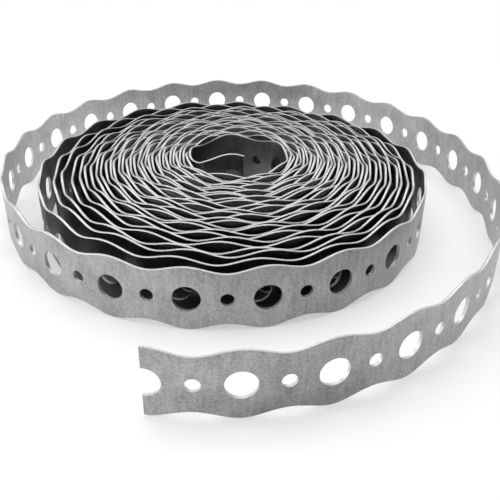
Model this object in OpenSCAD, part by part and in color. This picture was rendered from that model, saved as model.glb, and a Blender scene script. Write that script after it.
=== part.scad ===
// Perforated steel strap: a loose coil standing on its edge, its outer end opened into a loop.
// Millimetres. X runs across, Y away from the free end, Z up from the floor.

/* [Strap] */
// Width over the crests of the wavy edges
strap_w = 17.5; // [16:0.5:20]
// Width across the valleys, at the small holes
neck_w = 14.1; // [12.5:0.1:14.5]
// Thickness of the sheet
strap_t = 0.8; // [0.6:0.1:1]
// From one large hole to the next, with a small hole halfway
pitch = 19.5; // [18:0.5:22]
// Large hole, under each crest
large_d = 7; // [6:0.1:8]
// Small hole, in each valley
small_d = 3.4; // [3:0.1:4.5]

/* [Coil] */
// Outside of the wound coil
coil_d = 116; // [110:1:120]
// Bore left in the middle
bore_d = 31; // [28:1:34]
// How far the bore sits to the right of the coil's middle
bore_x = 0.5; // [0:0.5:3]
// How far the bore sits behind the coil's middle
bore_y = 7; // [0:0.5:9]
// Turns that show on the ends
turns = 32; // [26:1:34]
// Depth of the gaps between the turns, at each end
gap_depth = 4; // [2:0.5:6]

/* [Loose loop] */
// Where the strap leaves the coil, as an angle round it
leave_angle = 20; // [10:1:30]
// How much larger than the coil the bend across its front is, in radius
front_gap = 4; // [3:0.5:6]
// How far the bend across the front turns
front_turn = 150; // [146:1:154]
// Radius of the bend down the left side
left_r = 79.5; // [76:0.5:84]
// How far it turns
left_turn = 101; // [97:1:105]
// Radius of the tighter bend at the back left
back_r = 69.5; // [66:0.5:74]
// How far it turns
back_turn = 83; // [79:1:87]
// Radius of the wide bend round the back and down the right side
right_r = 98.5; // [94:0.5:103]
// How far it turns
right_turn = 93; // [89:1:97]
// Radius of the free end, curling along the front
tail_r = 75.5; // [70:0.5:82]
// How far it turns, up to the hole that the outer cut goes through
tail_turn = 52; // [46:1:58]
// How far the outer cut lies past the middle of the hole that it goes through
end_past = 0.5; // [0:0.1:1.5]

/* [Inner end] */
// Where the inner end leaves the bore's wall, as an angle round the bore
inner_angle = 188; // [183:1:195]
// Radius of the sharp bend off the wall
crook_r = 2.6; // [2.2:0.1:3.2]
// How far it turns
crook_turn = 114; // [106:1:122]
// Radius of the gentler bend back, up to the inner cut
inner_r = 20; // [15:0.5:30]
// How far the inner cut lies past the middle of the last large hole
cut_past = 4; // [3.8:0.1:5.5]

/* [Hidden] */
$fn = 96;
half = pitch / 2;
// Sliver taken off each crest, so that the strap stands on short flats
crest_trim = 0.05;
wave = strap_w / 2 + crest_trim - neck_w / 2;
wave_mid = neck_w / 2 + wave / 2;
// Straight cuts that make half a valley
wave_cuts = 8;
// How far a cutter stands out on each side of the sheet
reach = 3;
// How far the loop starts inside the outermost turn
tuck = 0.5;
coil_r = coil_d / 2;
bore_r = bore_d / 2;
// Middle of the sheet in the outermost and innermost turns
outer_r = coil_r - strap_t / 2;
inner_most = bore_r + strap_t / 2;
turn_step = (outer_r - inner_most) / (turns - 1);
// Middle of the sheet where the loop leaves the coil
loop_r = outer_r - tuck;
front_r = coil_r + front_gap;
// Run of the loop that still lies on the coil, with half a pitch beyond it: it is left unpunched
lap = front_r * acos(1 - (strap_t + tuck) / (front_r - loop_r)) * PI / 180 + half;
// The last large hole is half a pitch from the sharp bend, and the inner cut lies past it
inner_turn = (half + cut_past) / inner_r * 180 / PI;
// A bend is [radius, turn to the right in degrees]; both are negative for a bend to the left
loop_bends = [
    [front_r, front_turn],
    [left_r, left_turn],
    [back_r, back_turn],
    [right_r, right_turn],
    [tail_r, tail_turn]
];
end_bends = [[-crook_r, -crook_turn], [inner_r, inner_turn]];
function bend_len(b) = b[0] * b[1] * PI / 180;
function run(bends, i = 0) = i == len(bends) ? 0 : bend_len(bends[i]) + run(bends, i + 1);
loop_len = run(loop_bends);
end_len = run(end_bends);
crook_len = bend_len(end_bends[0]);
// A pose is [x, y, heading]; this is the one after a bend
function bent(p, r, a) = [
    p[0] + r * (cos(p[2] - 90) + cos(p[2] - a + 90)),
    p[1] + r * (sin(p[2] - 90) + sin(p[2] - a + 90)),
    p[2] - a
];
// Pose at a distance along a run of bends
function pose(bends, p, d, i = 0) =
    d <= bend_len(bends[i]) || i == len(bends) - 1
        ? bent(p, bends[i][0], d / bends[i][0] * 180 / PI)
        : pose(bends, bent(p, bends[i][0], bends[i][1]), d - bend_len(bends[i]), i + 1);
loop_start = [
    loop_r * cos(leave_angle),
    loop_r * sin(leave_angle),
    leave_angle - 90
];
end_start = [
    bore_x + inner_most * cos(inner_angle),
    bore_y + inner_most * sin(inner_angle),
    inner_angle + 90
];
function loop_pose(d) = pose(loop_bends, loop_start, d);
function end_pose(d) = pose(end_bends, end_start, d);
// The sheet is flat across each hole and bends a quarter pitch from it
steps = floor(loop_len / (half / 2) - 0.5);
loop_poses = concat(
    [loop_pose(loop_len + end_past)],
    [for (j = [0:steps - 1]) loop_pose(loop_len - (j + 0.5) * half / 2)],
    [loop_pose(0)]
);
// Straight runs that make the inner end
end_cuts = 24;
end_poses = [for (j = [0:end_cuts]) end_pose(end_len * j / end_cuts)];
// The object's middle, which stands on the origin
xs = [for (p = loop_poses) p[0]];
ys = [for (p = loop_poses) p[1]];
mid = [(max(xs) + min(xs)) / 2, (max(ys) + min(ys)) / 2];
holes = floor((loop_len - lap) / half);

function beside(p, off) = [p[0] + off * cos(p[2] + 90), p[1] + off * sin(p[2] + 90)];

// A run of sheet on its edge, through a list of poses
module sheet(poses) {
    n = len(poses) - 1;
    linear_extrude(strap_w)
        polygon(concat(
            [for (p = poses) beside(p, strap_t / 2)],
            [for (j = [0:n]) beside(poses[n - j], -strap_t / 2)]
        ));
}

// Puts the children on a pose, X along the sheet and Y out of its left face
module on(p) {
    translate([p[0], p[1], strap_w / 2]) rotate(p[2]) children();
}

// What the wave takes off an edge: a valley between two crests, lowest at x = 0
module valley() {
    polygon(concat(
        [[-half, strap_w], [-half, wave_mid + wave / 2]],
        [for (j = [1 - wave_cuts:wave_cuts - 1])
            [half * j / wave_cuts, wave_mid - wave / 2 * cos(180 * j / wave_cuts)]],
        [[half, wave_mid + wave / 2], [half, strap_w]]
    ));
}

// Cutter for both edges at a small hole, standing out by far on each side of the sheet
module neck(far = reach) {
    translate([0, far, 0])
        rotate([90, 0, 0])
            linear_extrude(2 * far) {
                valley();
                mirror([0, 1]) valley();
            }
}

module hole(d) {
    translate([0, reach, 0]) rotate([90, 0, 0]) cylinder(d = d, h = 2 * reach);
}

// The loose loop, its free end cut through a large hole
module loop() {
    difference() {
        sheet(loop_poses);
        for (k = [0:holes])
            on(loop_pose(loop_len - k * half)) hole(k % 2 == 0 ? large_d : small_d);
        for (k = [1:2:holes])
            on(loop_pose(loop_len - k * half)) neck();
    }
}

// The inner end, bent off the bore's wall: a small hole at the sharp bend, then a large one and the cut
module inner_end() {
    difference() {
        sheet(end_poses);
        on(end_pose(crook_len)) {
            hole(small_d);
            neck(2 * crook_r + reach);
        }
        on(end_pose(crook_len + half)) hole(large_d);
        on(end_pose(crook_len + 2 * half)) neck();
    }
}

// Each turn is a ridge; the turns drift from the bore's middle to the coil's
module ridge(i) {
    translate([bore_x, bore_y] * (1 - i / (turns - 1)))
        rotate_extrude($fn = 240)
            translate([inner_most + i * turn_step - strap_t / 2, 0]) square([strap_t, strap_w]);
}

// The wound coil: one body with a bore, its turns showing on both ends
module coil() {
    for (i = [0:turns - 1])
        ridge(i);
    translate([0, 0, gap_depth])
        difference() {
            cylinder(r = outer_r, h = strap_w - 2 * gap_depth, $fn = 240);
            translate([bore_x, bore_y, -1]) cylinder(r = inner_most, h = strap_w, $fn = 240);
        }
}

module strap() {
    color([0.72, 0.73, 0.73])
        translate([-mid[0], -mid[1], 0]) {
            loop();
            coil();
            inner_end();
        }
}

strap();
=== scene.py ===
# A loose coil of perforated steel strap, standing on its edge on a white floor.
# The strap is one long sheet: its whole length is built here, turn by turn, with every hole.

import math

import bpy
import numpy as np
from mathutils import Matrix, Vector


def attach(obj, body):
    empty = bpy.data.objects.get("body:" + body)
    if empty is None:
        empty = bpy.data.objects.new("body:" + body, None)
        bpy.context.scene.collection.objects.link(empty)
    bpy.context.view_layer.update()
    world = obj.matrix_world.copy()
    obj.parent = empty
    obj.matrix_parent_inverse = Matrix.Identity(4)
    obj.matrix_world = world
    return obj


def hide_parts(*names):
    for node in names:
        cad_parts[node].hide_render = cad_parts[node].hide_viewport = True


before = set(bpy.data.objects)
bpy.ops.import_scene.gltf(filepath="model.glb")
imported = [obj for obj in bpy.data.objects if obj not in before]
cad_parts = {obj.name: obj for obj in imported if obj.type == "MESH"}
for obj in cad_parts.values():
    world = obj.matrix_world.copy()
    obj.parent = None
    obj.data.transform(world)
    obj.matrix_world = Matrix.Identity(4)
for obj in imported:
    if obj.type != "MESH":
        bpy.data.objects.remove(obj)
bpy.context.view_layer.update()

# The strap and its line are in millimetres, and the scene is in metres
MM = 0.001

# The strap: its width over the crests and across the valleys, and its thickness
STRAP_W = 17.5
NECK_W = 14.1
STRAP_T = 0.8
# From one large hole to the next, and to the small one halfway
PITCH = 19.5
HALF = PITCH / 2
LARGE_R = 3.5
SMALL_R = 1.7
# The punched edge: its corner is drawn in on the inner face, and nearly sharp on the outer one
DRAWN_CORNER = 0.2
SHARP_CORNER = 0.09
# Faces that meet at more than this angle show a sharp line
SHARP_ANGLE = math.radians(32)

# The slack loop, which starts a little inside the coil's outermost turn
COIL_R = 58.0
TUCK = 0.5
LOOP_R = COIL_R - STRAP_T / 2 - TUCK
LEAVE_ANGLE = math.radians(20)
FRONT_R = 62.0
TAIL_R = 75.5
# The outer cut lies this far past the middle of the hole that it goes through
END_PAST = 0.5
TAIL_TURN = 52.0 + math.degrees(END_PAST / TAIL_R)
# Its bends from the coil to the free end: radius, and turn to the right in degrees
LOOP_BENDS = [(FRONT_R, 150.0), (79.5, 101.0), (69.5, 83.0), (98.5, 93.0), (TAIL_R, TAIL_TURN)]
LOOP_STEP = 0.5

# The bore: its radius across, how much deeper than wide it is, and its middle from the coil's axis
BORE_R = 14.9
BORE_OVAL = 0.07
BORE_AT = np.array([0.5, 7.0])
# The inner end: where it leaves the bore's wall, its sharp bend, and the gentler one back to its cut
INNER_ANGLE = math.radians(188)
CROOK = (-2.6, -114.0)
INNER_R = 20.0
# The inner cut lies this far past the middle of a large hole
CUT_PAST = 4.0
END_RUN = HALF + CUT_PAST
END_BENDS = [CROOK, (INNER_R, math.degrees(END_RUN / INNER_R))]
END_STEP = 0.25

# The wound turns: where the outermost one's middle lies from the coil's axis, its radius, and how much
# deeper than wide it is
OUTER_AT = np.array([-3.0, -2.9])
OUTER_R = 59.1
OVAL = 0.017
TURNS = 32
# Turns in which the middle moves most of the way across and back to the bore's
DRIFT_TURNS = np.array([1.55, 15.0])
# Extra spacing of the outer turns, and in how many turns it fades: a short wide step, then a longer one
LOOSE_STEP = 4.25
LOOSE_TURNS = 0.45
SLACK_STEP = 1.45
SLACK_TURNS = 5.5
# How far the outer turns bulge towards the back, in which direction, how narrowly, and in how many
# turns that fades
BULGE = 4.4
BULGE_ANGLE = math.radians(115)
BULGE_POWER = 3
BULGE_TURNS = 1.8
# The outermost turn carries on the bend across the front for this share of a turn
LEAD_TURNS = 0.2
# Samples in a turn, the share of the room between two turns that each may wander, in how many samples,
# and the turns over which that starts at the outside and stops at the bore
SAMPLES = 240
WANDER = 0.42
WANDER_SAMPLES = 34
WANDER_SEED = 7
WANDER_FADE = 2.0
STRAIGHT_END = 0.4


def along_bends(pose, bends, step):
    """Points and headings along a run of bends, about a step apart."""
    x, y, heading = pose
    points = [(x, y, heading)]
    for radius, turn in bends:
        sweep = math.radians(turn)
        count = max(2, math.ceil(abs(radius * sweep) / step))
        cx = x + radius * math.sin(heading)
        cy = y - radius * math.cos(heading)
        for i in range(1, count + 1):
            now = heading - sweep * i / count
            points.append((cx - radius * math.sin(now), cy + radius * math.cos(now), now))
        x, y, heading = points[-1]
    return points


def coil_radius(turns_in, last):
    """Radius of the sheet's middle after so many turns inward."""
    def extra(n):
        slack = SLACK_STEP * SLACK_TURNS * (1 - np.exp(-n / SLACK_TURNS))
        return slack + LOOSE_STEP * LOOSE_TURNS * (1 - np.exp(-n / LOOSE_TURNS))
    end_r = BORE_R + STRAP_T / 2
    tight_step = (OUTER_R - extra(last) - end_r) / last
    return OUTER_R - extra(turns_in) - tight_step * turns_in


def smoothstep(t):
    """From 0 to 1, starting and ending gently."""
    t = np.clip(t, 0, 1)
    return t * t * (3 - 2 * t)


def smooth_noise(count, spacing, seed):
    """Values from -1 to 1 that wander smoothly, one bump about every so many samples."""
    rng = np.random.default_rng(seed)
    knots = rng.uniform(-1, 1, count // spacing + 3)
    at = np.arange(count) / spacing
    i = at.astype(int)
    share = smoothstep(at - i)
    return knots[i] * (1 - share) + knots[i + 1] * share


def round_points(angle):
    """Points on a circle of radius 1."""
    return np.stack([np.cos(angle), np.sin(angle)], 1)


def coil_line():
    """Points of the wound turns, from the outermost turn to the bore's wall."""
    last = TURNS + (INNER_ANGLE - LEAVE_ANGLE) / (2 * math.pi)
    count = round(last * SAMPLES) + 1
    turns_in = np.linspace(0, last, count)
    angle = LEAVE_ANGLE + 2 * math.pi * turns_in
    radius = coil_radius(turns_in, last)
    faded = np.exp(-turns_in[:, None] / DRIFT_TURNS)
    faded = (faded - faded[-1]) / (1 - faded[-1])
    middle = BORE_AT + faded * (OUTER_AT - BORE_AT)
    outward = (radius - radius[-1]) / (OUTER_R - radius[-1])
    deep = 1 + BORE_OVAL + (OVAL - BORE_OVAL) * outward
    line = middle + radius[:, None] * round_points(angle) * np.stack([np.ones(count), deep], 1)
    bulge = BULGE * np.maximum(0, np.cos(angle - BULGE_ANGLE)) ** BULGE_POWER
    bulge *= np.exp(-turns_in / BULGE_TURNS)
    line += bulge[:, None] * round_points(angle)
    lead = smoothstep(turns_in / LEAD_TURNS)[:, None]
    front_at = (LOOP_R - FRONT_R) * round_points(np.array([LEAVE_ANGLE]))
    line = (1 - lead) * (front_at + FRONT_R * round_points(angle)) + lead * line
    # Each turn wanders within the room between its neighbours
    gap = np.linalg.norm(line[SAMPLES:] - line[:-SAMPLES], axis=1) - STRAP_T
    inside = np.concatenate([gap, gap[-SAMPLES:]])
    outside = np.concatenate([gap[:SAMPLES], gap])
    room = np.minimum(inside, outside)
    settled = smoothstep(turns_in / WANDER_FADE) * smoothstep((last - turns_in) / STRAIGHT_END)
    away = WANDER * room * settled * smooth_noise(count, WANDER_SAMPLES, WANDER_SEED)
    return line + away[:, None] * round_points(angle)


def strap_line():
    """The middle of the sheet from the free end to the inner cut: distance, place and heading.

    Distance 0 is the middle of the hole that the free end is cut through. The loop's length comes last.
    """
    start = LOOP_R * round_points(np.array([LEAVE_ANGLE]))[0]
    out = along_bends((start[0], start[1], LEAVE_ANGLE - math.pi / 2), LOOP_BENDS, LOOP_STEP)
    loop = np.array(out)[::-1, :2]
    coil = coil_line()
    into = coil[-1] - coil[-2]
    end_pose = (coil[-1, 0], coil[-1, 1], math.atan2(into[1], into[0]))
    inner_end = np.array(along_bends(end_pose, END_BENDS, END_STEP))[:, :2]
    line = np.concatenate([loop, coil[1:], inner_end[1:]])
    line -= (loop.min(0) + loop.max(0)) / 2
    run = np.cumsum(np.linalg.norm(np.diff(line, axis=0), axis=1))
    run = np.concatenate([[0], run]) - END_PAST
    ahead = np.gradient(line, run, axis=0)
    heading = np.unwrap(np.arctan2(ahead[:, 1], ahead[:, 0]))
    return run, line, heading, run[len(loop) - 1]


RUN, LINE, HEADING, LOOP_LEN = strap_line()
# A whole number of pitches, up to the last large hole, and the inner cut past it
TOTAL = PITCH * round((RUN[-1] - CUT_PAST) / PITCH) + CUT_PAST

# Runs whose faces show: the outermost turns past the loop, and the bore's wall with the inner end
SHOWN_OUTSIDE = 800.0
SHOWN_INSIDE = 150.0
# Cuts in half the rim of a large hole, of a small one, and in the sheet between two holes
SHOWN_CUTS = (20, 12, 4)
HIDDEN_CUTS = (6, 4, 2)
# A hole that is less than this open is closed, and no section is drawn nearer than this to the inner cut
CLOSED = 1e-6
LAST_GAP = 0.2
# How much more the sheet bends at its holes than between them, by its run past the loop
GIVE = [(1000.0, 0.8), (3000.0, 0.25)]

# Painted light and shade on each face, from 0, brightest, to 1, darkest: in the open, where it gives the
# zinc's own tone, and by its run past the loop
OPEN_SHADE = 0.384
# On the inner face: values below OPEN_SHADE at the loop's back are painted light; the higher ones, from the
# loop's last stretch before the coil into the wound turns, are painted shade
INNER_SHADE = [
    (-490.0, OPEN_SHADE), (-412.0, 0.24), (-354.0, 0.29), (-315.0, 0.22), (-276.0, 0.03),
    (-250.0, 0.1), (-225.0, OPEN_SHADE), (-140.0, 0.91), (0.0, 0.88), (60.0, 0.8),
    (130.0, 0.8), (190.0, 0.91), (2300.0, 0.91), (4000.0, 0.78),
]
# On the outer face: painted shade between the wound turns
OUTER_SHADE = [
    (115.0, OPEN_SHADE), (200.0, 1.0), (430.0, 1.0), (520.0, 0.92), (2300.0, 0.9), (4000.0, 0.79),
]
# The inner face in the bore, over this run before the inner cut: its painted shade at the right and the
# left
BORE_RUN = 128.0
BORE_SHADE = (0.54, 0.96)
# It turns from one to the other in the first half of this run before the inner cut
BORE_WALL = 75.0
# The turn behind the bore's wall, which shows through its holes, and the painted shade on its inner face
BEHIND_BORE = 245.0
BEHIND_SHADE = 0.98
# The outer face of the inner end, which shows in the bore, and its painted shade
END_SHADE = 0.91
# Stretches of the outer face with painted shade, darker towards the bottom, at the tail and at the coil's
# front right: middle and half length, and how much painted shade the top and bottom edges get
SHADED_STRETCHES = [(34.0, 36.0, 0.1, 0.22), (548.0, 62.0, 0.08, 0.12)]

# A section's corners: the ends of the left and right faces and of the top and bottom edges, and the rims
# of its hole. Between two sections, a strip of skin runs from one corner to another, and some are cut metal
SKIN = [
    ("left_high", "left_top", False),
    ("left_bottom", "left_low", False),
    ("right_top", "right_high", False),
    ("right_low", "right_bottom", False),
    ("left_top", "top_left", False),
    ("top_left", "top_right", True),
    ("top_right", "right_top", True),
    ("right_bottom", "bottom_right", True),
    ("bottom_right", "bottom_left", True),
    ("bottom_left", "left_bottom", False),
]
HOLE_SKIN = [("right_high", "left_high", True), ("left_low", "right_low", True)]
UPPER_END = ["left_high", "left_top", "top_left", "top_right", "right_top", "right_high"]
LOWER_END = ["right_low", "right_bottom", "bottom_right", "bottom_left", "left_bottom", "left_low"]


def past_loop(s, knots):
    """Values at distances along the strap, from knots given by their run past the loop."""
    return np.interp(s - LOOP_LEN, *zip(*knots))


def stations():
    """Distances along the strap at which its section is drawn, each with its hole's half height.

    Large and small holes alternate, from the large one that the free end is cut through.
    The turns that lie between others, with only their edges showing, are drawn with fewer sections.
    """
    found = [(-END_PAST, math.sqrt(LARGE_R ** 2 - END_PAST ** 2))]
    for k in range(math.ceil(TOTAL / HALF) + 1):
        middle = k * HALF
        large = k % 2 == 0
        radius = LARGE_R if large else SMALL_R
        shown = middle < LOOP_LEN + SHOWN_OUTSIDE or middle > TOTAL - SHOWN_INSIDE
        large_cuts, small_cuts, between = SHOWN_CUTS if shown else HIDDEN_CUTS
        cuts = large_cuts if large else small_cuts
        for i in range(cuts + 1):
            a = math.pi * i / cuts
            found.append((middle - radius * math.cos(a), radius * math.sin(a)))
        gap_start = middle + radius
        gap_end = middle + HALF - (SMALL_R if large else LARGE_R)
        for i in range(1, between):
            found.append((gap_start + (gap_end - gap_start) * i / between, 0.0))
    found = [(s, h if h > CLOSED else 0.0) for s, h in found if -END_PAST <= s < TOTAL - LAST_GAP]
    found.append((TOTAL, 0.0))
    return np.array(found).T


def left_of(heading):
    """The direction to the left of a heading."""
    return np.stack([-np.sin(heading), np.cos(heading)], 1)


def sheet_line(s):
    """The sheet's middle and the direction to its left, at distances along the strap."""
    # The hidden turns take up what is missing to a whole number of pitches
    wound_from = LOOP_LEN + SHOWN_OUTSIDE
    stretch = (RUN[-1] - wound_from) / (TOTAL - wound_from)
    place = np.where(s < wound_from, s, wound_from + (s - wound_from) * stretch)
    x = np.interp(place, RUN, LINE[:, 0])
    y = np.interp(place, RUN, LINE[:, 1])
    heading = np.interp(place, RUN, HEADING)
    # The sheet gives way at its holes: it bends more there than between them
    bend = np.gradient(heading, s)
    give = past_loop(s, GIVE) * bend * (HALF / (2 * math.pi)) ** 2
    phase = 2 * math.pi * s / HALF
    middle = np.stack([x, y], 1) - left_of(heading) * (give * np.cos(phase))[:, None]
    tilt = np.arctan(give * 2 * math.pi / HALF * np.sin(phase))
    return middle, left_of(heading + tilt)


def face_shades(s):
    """The painted light and shade of the inner and the outer face, and the painted shade at the outer one's
    top and bottom edges.
    """
    inner = past_loop(s, INNER_SHADE)
    outer = past_loop(s, OUTER_SHADE)
    in_bore = s > TOTAL - BORE_RUN
    inner[(s > TOTAL - BEHIND_BORE) & ~in_bore] = BEHIND_SHADE
    wall = smoothstep((s - (TOTAL - BORE_WALL)) / (BORE_WALL / 2))
    inner[in_bore] = (BORE_SHADE[0] + (BORE_SHADE[1] - BORE_SHADE[0]) * wall)[in_bore]
    outer[s > TOTAL - END_RUN] = END_SHADE
    stretch_shade = np.zeros((len(s), 2))
    for middle, reach, at_top, at_bottom in SHADED_STRETCHES:
        share = 1 - smoothstep(abs(s - middle) / reach)
        stretch_shade += share[:, None] * np.array([at_top, at_bottom])
    return inner, outer, stretch_shade


def build_strap():
    """The whole strap as one closed mesh, and which of its faces are cut metal."""
    s, hole = stations()
    middle, left = sheet_line(s)
    inner_shade, outer_shade, stretch_shade = face_shades(s)
    wave = (STRAP_W - NECK_W) / 4 * np.cos(math.pi * s / HALF)
    half_w = (STRAP_W + NECK_W) / 4 + wave
    z_mid = STRAP_W / 2
    half_t = STRAP_T / 2
    verts = []
    faces = []
    cut_face = []
    shade = []

    def add(i, side, z):
        """A vertex of section i, off the middle by side, at height z."""
        p = middle[i] + left[i] * side
        verts.append((p[0] * MM, p[1] * MM, z * MM))
        rise = z / STRAP_W
        painted_dark = stretch_shade[i, 0] * rise + stretch_shade[i, 1] * (1 - rise)
        # The shade is painted: it darkens the faces between the wound turns, in the bore and on the shaded
        # stretches, and lightens the loop's inner face at the back
        shade.append(inner_shade[i] if side > 0 else min(1.0, outer_shade[i] + painted_dark))
        return len(verts) - 1

    def section(i):
        """The corners of section i. Where it has no hole, the upper and lower rims are one."""
        top = z_mid + half_w[i]
        bottom = z_mid - half_w[i]
        row = {
            "left_top": add(i, half_t, top - DRAWN_CORNER),
            "top_left": add(i, half_t - DRAWN_CORNER, top),
            "top_right": add(i, -half_t + SHARP_CORNER, top),
            "right_top": add(i, -half_t, top - SHARP_CORNER),
            "right_bottom": add(i, -half_t, bottom + SHARP_CORNER),
            "bottom_right": add(i, -half_t + SHARP_CORNER, bottom),
            "bottom_left": add(i, half_t - DRAWN_CORNER, bottom),
            "left_bottom": add(i, half_t, bottom + DRAWN_CORNER),
        }
        for side, off in (("left", half_t), ("right", -half_t)):
            row[side + "_high"] = add(i, off, z_mid + hole[i])
            row[side + "_low"] = add(i, off, z_mid - hole[i]) if hole[i] > 0 else row[side + "_high"]
        return row

    def face(corners, cut):
        """A face without doubled corners, left out where nothing remains of it."""
        clean = [n for j, n in enumerate(corners) if n != corners[j - 1]]
        if len(set(clean)) > 2:
            faces.append(clean)
            cut_face.append(cut)

    rows = [section(i) for i in range(len(s))]
    for i, (a, b) in enumerate(zip(rows, rows[1:])):
        in_hole = hole[i] > 0 or hole[i + 1] > 0
        for first, second, cut in SKIN + HOLE_SKIN if in_hole else SKIN:
            face([a[first], b[first], b[second], a[second]], cut)
    for end, flip in ((rows[0], False), (rows[-1], True)):
        if end["left_high"] == end["left_low"]:
            outlines = [UPPER_END + LOWER_END[1:-1]]
        else:
            outlines = [UPPER_END, LOWER_END]
        for outline in outlines:
            corners = [end[n] for n in outline]
            face(corners[::-1] if flip else corners, True)
    mesh = bpy.data.meshes.new("strap")
    mesh.from_pydata(verts, [], faces)
    mesh.validate()
    # The painted light and shade, one value a vertex
    between = mesh.attributes.new("painted_light_and_shade", "FLOAT", "POINT")
    between.data.foreach_set("value", np.array(shade, dtype=np.float32))
    return mesh, cut_face


mesh, cut_face = build_strap()
strap = bpy.data.objects.new("strap_sheet", mesh)
bpy.context.scene.collection.objects.link(strap)
mesh.shade_smooth()
mesh.set_sharp_from_angle(angle=SHARP_ANGLE)

# The zinc's noises, each with its scale and detail: a fine grain, upright streaks and wide clouds
GRAIN = (2100, 4)
STREAK = (900, 3)
CLOUD = (130, 4)
# The noise is drawn out by this factor along the streaks
STREAK_SHRINK = 0.25
# Shares of the streaks in the grain, and of the clouds in both
STREAK_SHARE = 0.35
CLOUD_SHARE = 0.3
# Where the noise reaches a tone's darker and lighter colour, and those colours: bright zinc and the near
# black of painted shade. Mixed at OPEN_SHADE they give the zinc's own tone; less of the dark one is painted
# light
BRIGHT_TONE = [(0.38, (0.42, 0.427, 0.42)), (0.62, (0.777, 0.784, 0.777))]
SHADE_TONE = [(0.37, (0.036, 0.038, 0.039)), (0.63, (0.066, 0.069, 0.07))]
# The clouds' usual values, and the roughness at both
CLOUD_RANGE = (0.3, 0.7)
ZINC_ROUGHNESS = (0.36, 0.46)
# Relief of the grain: its strength, and its height in metres
BUMP_STRENGTH = 0.25
BUMP_HEIGHT = 0.00005
# The cut edges
EDGE_GRAIN = (1500, 3)
EDGE_TONE = [(0.3, (0.58, 0.58, 0.57)), (0.7, (0.7, 0.7, 0.69))]
EDGE_ROUGHNESS = 0.5


def new_material(name):
    """A material with its nodes, its links and its shader."""
    mat = bpy.data.materials.new(name)
    mat.use_nodes = True
    nodes = mat.node_tree.nodes
    return mat, nodes, mat.node_tree.links, nodes["Principled BSDF"]


def noise(nodes, links, where, kind):
    """Noise of a kind, which is its scale and detail."""
    scale, detail = kind
    tex = nodes.new("ShaderNodeTexNoise")
    tex.inputs["Scale"].default_value = scale
    tex.inputs["Detail"].default_value = detail
    links.new(where, tex.inputs["Vector"])
    return tex.outputs["Fac"]


def toned(nodes, links, value, tone):
    """A value spread between the two colours of a tone, each given with its position."""
    ramp = nodes.new("ShaderNodeValToRGB")
    for stop, (position, color) in zip(ramp.color_ramp.elements, tone):
        stop.position = position
        stop.color = (*color, 1)
    links.new(value, ramp.inputs["Fac"])
    return ramp.outputs["Color"]


def spread(nodes, links, value, values, results):
    """A value taken from one range to another."""
    out = nodes.new("ShaderNodeMapRange")
    out.inputs["From Min"].default_value = values[0]
    out.inputs["From Max"].default_value = values[1]
    out.inputs["To Min"].default_value = results[0]
    out.inputs["To Max"].default_value = results[1]
    links.new(value, out.inputs["Value"])
    return out


def mixed(nodes, links, kind, factor, first, second):
    """Two numbers or colours mixed by a share, which is a number or a socket."""
    mix = nodes.new("ShaderNodeMix")
    mix.data_type = kind
    sockets = {i.name: i for i in mix.inputs if i.enabled}
    if isinstance(factor, float):
        sockets["Factor"].default_value = factor
    else:
        links.new(factor, sockets["Factor"])
    links.new(first, sockets["A"])
    links.new(second, sockets["B"])
    return next(o for o in mix.outputs if o.enabled)


def bumped(nodes, links, shader, value, strength, height):
    """Gives the shader a fine relief."""
    bump = nodes.new("ShaderNodeBump")
    bump.inputs["Strength"].default_value = strength
    bump.inputs["Distance"].default_value = height
    links.new(value, bump.inputs["Height"])
    links.new(bump.outputs["Normal"], shader.inputs["Normal"])


def zinc():
    """Galvanised face: matt grey zinc with a fine mottled grain, with painted shade between the wound turns
    and painted light on the loop's inner face at the back.
    """
    mat, nodes, links, shader = new_material("galvanised_zinc")
    shader.inputs["Metallic"].default_value = 1.0
    where = nodes.new("ShaderNodeTexCoord").outputs["Object"]
    upright = nodes.new("ShaderNodeMapping")
    upright.inputs["Scale"].default_value = (1, 1, STREAK_SHRINK)
    links.new(where, upright.inputs["Vector"])
    grain = noise(nodes, links, where, GRAIN)
    streak = noise(nodes, links, upright.outputs["Vector"], STREAK)
    cloud = noise(nodes, links, where, CLOUD)
    mottle = mixed(nodes, links, "FLOAT", STREAK_SHARE, grain, streak)
    mottle = mixed(nodes, links, "FLOAT", CLOUD_SHARE, mottle, cloud)
    # The bright tone, painted light where the attribute lies below OPEN_SHADE, and the near black tone of
    # the painted shade
    clean = toned(nodes, links, mottle, BRIGHT_TONE)
    painted_dark = toned(nodes, links, mottle, SHADE_TONE)
    attribute = nodes.new("ShaderNodeAttribute")
    attribute.attribute_name = "painted_light_and_shade"
    # Mixed by the painted light and shade
    color = mixed(nodes, links, "RGBA", attribute.outputs["Fac"], clean, painted_dark)
    links.new(color, shader.inputs["Base Color"])
    rough = spread(nodes, links, cloud, CLOUD_RANGE, ZINC_ROUGHNESS)
    links.new(rough.outputs["Result"], shader.inputs["Roughness"])
    bumped(nodes, links, shader, grain, BUMP_STRENGTH, BUMP_HEIGHT)
    return mat


def cut_edge():
    """Sheared and punched edges: brighter metal."""
    mat, nodes, links, shader = new_material("cut_edge")
    where = nodes.new("ShaderNodeTexCoord").outputs["Object"]
    grain = noise(nodes, links, where, EDGE_GRAIN)
    links.new(toned(nodes, links, grain, EDGE_TONE), shader.inputs["Base Color"])
    shader.inputs["Metallic"].default_value = 1.0
    shader.inputs["Roughness"].default_value = EDGE_ROUGHNESS
    return mat


mesh.materials.append(zinc())
mesh.materials.append(cut_edge())
mesh.polygons.foreach_set("material_index", np.array(cut_face, dtype=np.int32))
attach(strap, "root")
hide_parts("strap")

# The floor, in metres: its width, and how far it lies below the strap
FLOOR_SIZE = 6
FLOOR_DROP = 0.0002
FLOOR_COLOR = (0.95, 0.95, 0.95, 1)
FLOOR_ROUGHNESS = 0.9
# How white it is of itself under the object, and the distances between which it turns all white
FLOOR_GLOW = 0.4
FLOOR_TURN = (0.12, 0.4)
ALL_WHITE = 1.0


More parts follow.
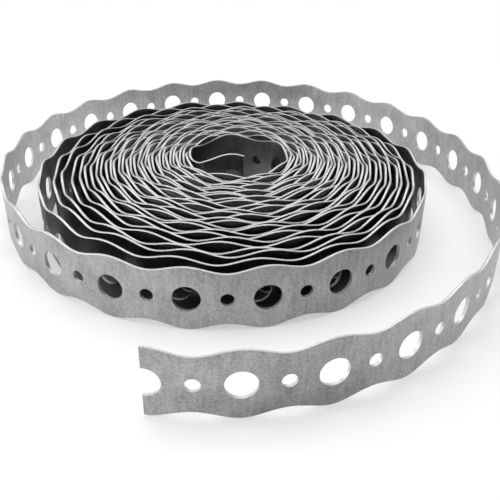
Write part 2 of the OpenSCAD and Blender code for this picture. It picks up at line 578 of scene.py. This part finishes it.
def white_floor():
    """A pale floor, partly white of itself, so that the object's shadow stays soft and light."""
    bpy.ops.mesh.primitive_plane_add(size=FLOOR_SIZE, location=(0, 0, -FLOOR_DROP))
    floor = bpy.context.object
    floor.name = "floor"
    mat, nodes, links, shader = new_material("floor_white")
    shader.inputs["Base Color"].default_value = FLOOR_COLOR
    shader.inputs["Roughness"].default_value = FLOOR_ROUGHNESS
    rays = nodes.new("ShaderNodeLightPath")
    seen = rays.outputs["Is Camera Ray"]
    for ray in ("Is Glossy Ray", "Is Transmission Ray"):
        both = nodes.new("ShaderNodeMath")
        both.operation = "MAXIMUM"
        links.new(seen, both.inputs[0])
        links.new(rays.outputs[ray], both.inputs[1])
        seen = both.outputs["Value"]
    where = nodes.new("ShaderNodeTexCoord").outputs["Object"]
    away = nodes.new("ShaderNodeVectorMath")
    away.operation = "LENGTH"
    links.new(where, away.inputs[0])
    white = spread(nodes, links, away.outputs["Value"], FLOOR_TURN, (FLOOR_GLOW, ALL_WHITE))
    white.interpolation_type = "SMOOTHSTEP"
    share = nodes.new("ShaderNodeMath")
    share.operation = "MULTIPLY"
    links.new(seen, share.inputs[0])
    links.new(white.outputs["Result"], share.inputs[1])
    glow = nodes.new("ShaderNodeEmission")
    mix = nodes.new("ShaderNodeMixShader")
    links.new(share.outputs["Value"], mix.inputs["Fac"])
    links.new(shader.outputs["BSDF"], mix.inputs[1])
    links.new(glow.outputs["Emission"], mix.inputs[2])
    links.new(mix.outputs["Shader"], nodes["Material Output"].inputs["Surface"])
    floor.data.materials.append(mat)


white_floor()

# Brightness of the room before and behind the object, and the share of depth between which it turns
ROOM_FRONT = 0.24
ROOM_BACK = 0.9
ROOM_TURN = (-0.2, 0.6)
# The horizon's brightness, and the heights between which it gives way to the room
HORIZON = 1.0
HORIZON_TURN = (0.08, 0.25)


def studio():
    """A dim room, darkest before the object and above eye level, and white round the horizon."""
    world = bpy.data.worlds.new("studio")
    world.use_nodes = True
    nodes = world.node_tree.nodes
    links = world.node_tree.links
    ray = nodes.new("ShaderNodeTexCoord").outputs["Generated"]
    split = nodes.new("ShaderNodeSeparateXYZ")
    links.new(ray, split.inputs["Vector"])

    def ease(value, values):
        """From 0 to 1 between two values, starting and ending gently."""
        out = spread(nodes, links, value, values, (0, 1))
        out.interpolation_type = "SMOOTHSTEP"
        return out.outputs["Result"]

    def blend(factor, first, second):
        """Two greys or colours mixed by a share."""
        mix = nodes.new("ShaderNodeMix")
        mix.data_type = "RGBA"
        links.new(factor, mix.inputs["Factor"])
        for socket, color in (("A", first), ("B", second)):
            if isinstance(color, float):
                mix.inputs[socket].default_value = (color, color, color, 1)
            else:
                links.new(color, mix.inputs[socket])
        return next(o for o in mix.outputs if o.type == "RGBA")

    room = blend(ease(split.outputs["Y"], ROOM_TURN), ROOM_FRONT, ROOM_BACK)
    sky = blend(ease(split.outputs["Z"], HORIZON_TURN), HORIZON, room)
    links.new(sky, nodes["Background"].inputs["Color"])
    bpy.context.scene.world = world


studio()

# Softboxes, in metres and watts: place, width and power
SOFTBOXES = {
    "top": ((0.0, 0.0, 0.9), 1.0, 6.0),
    "left": ((-0.95, -0.1, 0.25), 0.9, 7.0),
}


def softbox(name, at, width, power):
    """A square lamp that faces the object."""
    lamp = bpy.data.lights.new(name, "AREA")
    lamp.energy = power
    lamp.size = width
    box = bpy.data.objects.new(name, lamp)
    box.location = at
    box.rotation_euler = (-box.location).to_track_quat("-Z", "Y").to_euler()
    bpy.context.scene.collection.objects.link(box)


for lamp_name, (lamp_at, lamp_width, lamp_power) in SOFTBOXES.items():
    softbox(lamp_name, lamp_at, lamp_width, lamp_power)

# The camera, from a point at mid height that it aims at. It leans a little to one side
AIM = Vector((1.877, -37.844, STRAP_W / 2))
CAMERA_AT = AIM + Vector((0.0, -156.20, 90.51))
SENSOR_WIDTH = 36
LENS = 48.778
LEAN = math.radians(0.8216)
camera_data = bpy.data.cameras.new("camera")
camera_data.sensor_width = SENSOR_WIDTH
camera_data.lens = LENS
camera = bpy.data.objects.new("camera", camera_data)
bpy.context.scene.collection.objects.link(camera)
bpy.context.scene.camera = camera
camera.location = CAMERA_AT * MM
camera.rotation_euler = (AIM - CAMERA_AT).to_track_quat("-Z", "Y").to_euler()
camera.rotation_euler.rotate_axis("Z", LEAN)

bpy.context.scene.view_settings.view_transform = "Standard"
